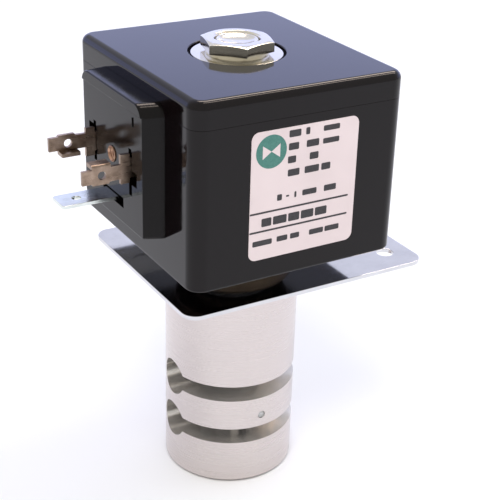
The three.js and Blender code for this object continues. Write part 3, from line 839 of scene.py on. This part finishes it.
def makeEarthBlade():
    e = earthBlade
    half, wide, level = blades["thickness"] / 2, blades["earthHalf"], blades["earthLevel"]
    root, tip, k, over = e["root"], e["tip"], e["chamfer"], shaping["over"]
    outline = [
        (root, -wide), (root, wide), (tip + k, wide), (tip, wide - k), (tip, -wide + k), (tip + k, -wide)]
    flat = stamped(outline, 2 * half, Matrix.Translation((0, 0, level - half)))
    legTop = level - half + shaping["join"]
    leg = block(root - e["legThickness"], root, -wide, wide, e["legBottom"], legTop)
    bm = combined(flat, [leg], "UNION")
    bm = combined(bm, [rod(e["holeRadius"], (e["hole"], 0, level - over), (e["hole"], 0, level + over), 40)])
    softened(bm, e["edge"])
    finishPiece(bm, "earthBladeStamping", "coil", "earthTin", ["earth_blade"])


makeCoilHousing()
makeCoilCap()
makeConnectorBlock()
makeInsert()
makePowerBlades()
makeEarthBlade()
print("coil and connector made")


# Label on the front of the coil, printed with plain marks that say nothing

label = {
    "x": (-12.8, 13.75), "z": (68.35, 97.4), "back": -28.62, "face": -28.745, "ink": -28.768,
    "corner": 1.8, "edge": 0.05, "markEdge": 0.25, "sink": 0.01,
}
labelMarks = [  # left, right, middle height, thickness
    (-3.8, -0.9, 95.9, 1.55), (0.3, 1.3, 95.9, 1.55), (4.7, 8.8, 95.8, 1.2),
    (-3.8, -1.3, 93.05, 1.55), (0.6, 3.7, 93.05, 1.55), (4.7, 8.8, 92.95, 1.2),
    (-3.9, -1.9, 90.15, 1.55), (1.5, 3.7, 90.15, 1.55),
    (-3.8, -0.9, 87.2, 1.55), (0.4, 4.0, 87.2, 1.55), (4.6, 6.9, 87.2, 1.55),
    (-6.2, -5.0, 82.05, 1.4), (-4.0, -3.2, 82.05, 0.4), (-1.9, -1.4, 82.05, 1.4), (0.1, 3.7, 82.05, 1.3),
    (5.6, 8.7, 82.05, 1.4),
    (-12.75, 12.05, 79.3, 0.42), (-12.75, 12.05, 75.0, 0.42),
    (-9.85, -7.4, 76.95, 1.9), (-7.0, -3.6, 76.95, 1.9), (-3.2, -0.4, 76.95, 1.9), (0.0, 3.2, 76.95, 1.9),
    (3.6, 6.6, 76.95, 1.9),
    (-11.9, -7.1, 72.3, 1.25), (-5.9, -3.2, 72.4, 1.25), (-2.5, -0.2, 72.4, 1.25), (2.35, 6.0, 72.3, 1.25),
    (6.4, 10.1, 72.3, 1.25),
]
emblem = {
    "middle": (-8.0, 92.75), "radius": 3.7, "wing": 2.1, "spread": 1.5,
    "discDrop": 0.008, "bowDrop": 0.012, "bowDepth": 0.012,
}


def makeLabel():
    s = label
    bm = block(*s["x"], s["face"], s["back"], *s["z"])
    rounded(bm, edgesAlong(bm, 1), s["corner"], 10)
    rounded(bm, edgesAt(bm, 1, s["face"]), s["edge"], 2)
    finishPiece(bm, "labelSheet", "coil", "labelPaper", ["label"])
    marks = []
    for left, right, middle, tall in labelMarks:
        mark = block(left, right, s["ink"], s["face"] + s["sink"], middle - tall / 2, middle + tall / 2)
        rounded(mark, edgesAlong(mark, 1), min(s["markEdge"], tall * 0.45), 3)
        marks.append(mark)
    finishPiece(gathered(*marks), "labelMarks", "coil", "labelInk")


def makeEmblem():
    e = emblem
    x, z = e["middle"]
    back = label["face"] + label["sink"]
    disc = rod(e["radius"], (x, back, z), (x, label["ink"] + e["discDrop"], z), 64)
    finishPiece(disc, "labelDisc", "coil", "labelGreen")
    bow = []
    for side in (-1, 1):  # two triangles meeting at their points, the usual sign for a valve
        points = [(0, 0), (side * e["wing"], -e["spread"]), (side * e["wing"], e["spread"])]
        front = Matrix.Translation((x, label["ink"] + e["bowDrop"], z))
        bow.append(stamped(points, e["bowDepth"], front @ Matrix.Rotation(math.pi / 2, 4, "X")))
    finishPiece(gathered(*bow), "labelBow", "coil", "labelPaper")


makeLabel()
makeEmblem()
print("label made")


# Fastening on top of the coil

washer = {"inner": 5.2, "outer": 10.4, "z": (103.6, 105.1), "edge": 0.15}
nut = {
    "acrossFlats": 14.8, "turn": 15.0, "bottom": 105.95, "top": 108.5, "chamferDrop": 0.75,
    "flatRadius": 6.9, "collarRadius": 7.2, "collarJoin": 0.02, "bore": 5.06, "boreChamfer": 0.35,
    "edge": 0.07,
}
stud = {
    "outline": (
        (0, 84.0), (6.35, 84.0), (6.55, 84.2), (6.55, 98.0), (7.2, 98.0), (7.2, 99.2), (4.7, 99.2),
        (4.7, 100.4), (4.98, 100.6), (4.98, 107.75), (4.6, 108.15), (4.15, 108.15), (3.7, 107.85),
        (2.4, 107.55), (0, 107.45)),
}


def makeWasher():
    w = washer
    inner, outer = w["inner"], w["outer"]
    low, high = w["z"]
    bm = turned([(inner, low), (outer, low), (outer, high), (inner, high)], steps=128, closedRing=True)
    softened(bm, w["edge"], 3)
    finishPiece(bm, "coilWasherRing", "valve", "nutZinc", ["coil_washer"])


def makeNut():
    n = nut
    bottom, top, over = n["bottom"], n["top"], shaping["over"]
    seat = washer["z"][1]
    corner = n["acrossFlats"] / math.sqrt(3)
    hexagon = bmesh.new()
    turn = Matrix.Rotation(math.radians(n["turn"] - 30), 4, "Z")
    bmesh.ops.create_cone(
        hexagon, cap_ends=True, segments=6, radius1=corner, radius2=corner, depth=top - bottom,
        matrix=Matrix.Translation((0, 0, (bottom + top) / 2)) @ turn)
    dome = turned([
        (0, bottom - over), (corner + over, bottom - over), (corner + over, top - n["chamferDrop"]),
        (n["flatRadius"], top), (0, top)], steps=144)
    head = combined(hexagon, [dome], "INTERSECT")
    collarTop = bottom + n["collarJoin"]
    collar = turned([
        (0, seat), (n["collarRadius"], seat), (n["collarRadius"], collarTop), (0, collarTop)], steps=96)
    bm = combined(head, [collar], "UNION")
    bore, k = n["bore"], n["boreChamfer"]
    hole = turned([
        (0, seat - over), (bore, seat - over), (bore, top - k), (bore + k + 0.5, top + 0.5),
        (0, top + 0.5)], steps=96)
    bm = combined(bm, [hole])
    softened(bm, n["edge"], angle=25)
    finishPiece(bm, "coilNutHex", "valve", "nutZinc", ["coil_nut"])


def makeStud():
    bm = turned(stud["outline"], steps=96)
    finishPiece(bm, "fixedCoreStud", "valve", "nutZinc", ["fixed_core"])


makeWasher()
makeNut()
makeStud()
print("fastening made")


# Return spring inside the armature.

returnSpring = {
    "radius": 2.2, "wire": 0.4, "wireSides": 12, "low": 61.5, "high": 83.5, "turns": 9, "stepsPerTurn": 24,
    "fixedEnd": 84.0, "stroke": 6.4,
}


def makeReturnSpring():
    s = returnSpring
    bm = bmesh.new()
    bmesh.ops.create_circle(bm, cap_ends=False, segments=s["wireSides"], radius=s["wire"])
    upright = Matrix.Rotation(math.pi / 2, 3, "X")
    bmesh.ops.rotate(bm, cent=(0, 0, 0), matrix=upright, verts=bm.verts[:])
    bmesh.ops.translate(bm, vec=(s["radius"], 0, s["low"]), verts=bm.verts[:])
    steps = s["turns"] * s["stepsPerTurn"]
    rise = (s["high"] - s["low"]) / steps
    bmesh.ops.spin(
        bm, geom=bm.verts[:] + bm.edges[:], cent=(0, 0, 0), axis=(0, 0, 1), dvec=(0, 0, rise),
        angle=2 * math.pi * s["turns"], steps=steps, use_merge=False, use_duplicate=False)
    bmesh.ops.holes_fill(bm, edges=[e for e in bm.edges if e.is_boundary], sides=0)
    tidyShell(bm)
    piece = finishPiece(bm, "returnSpringCoil", "valve", "innerSteel", ["return_spring"])
    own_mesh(piece)


makeReturnSpring()
print("spring made")


# Finishes for the parts that keep their own shape

plainParts = {
    "armature": "innerSteel", "carriage_cross_pin": "innerSteel", "pinch_carriage": "innerSteel",
    "guide_tube": "innerSteel", "coil_gasket": "gasketRubber",
    "yoke_plate": "yokeSteel", "yoke_frame": "yokeSteel", "bobbin": "bobbinNylon",
    "winding": "windingCopper", "lead_wire_rear": "windingCopper", "lead_wire_front": "windingCopper",
}
for nodeName, finish in plainParts.items():
    for place in nodes[nodeName].material_slots:
        place.material = finishes[finish]
print("inner parts finished")


def layFloor():
    bm = bmesh.new()
    bmesh.ops.create_circle(bm, cap_ends=True, segments=96, radius=studio["floorRadius"])
    bmesh.ops.translate(bm, vec=(0, 0, -studio["floorDrop"]), verts=bm.verts[:])
    mesh = bpy.data.meshes.new("studioFloor")
    bm.to_mesh(mesh)
    bm.free()
    mesh.materials.append(floorPaint())
    obj = bpy.data.objects.new("studioFloor", mesh)
    bpy.context.scene.collection.objects.link(obj)


layFloor()
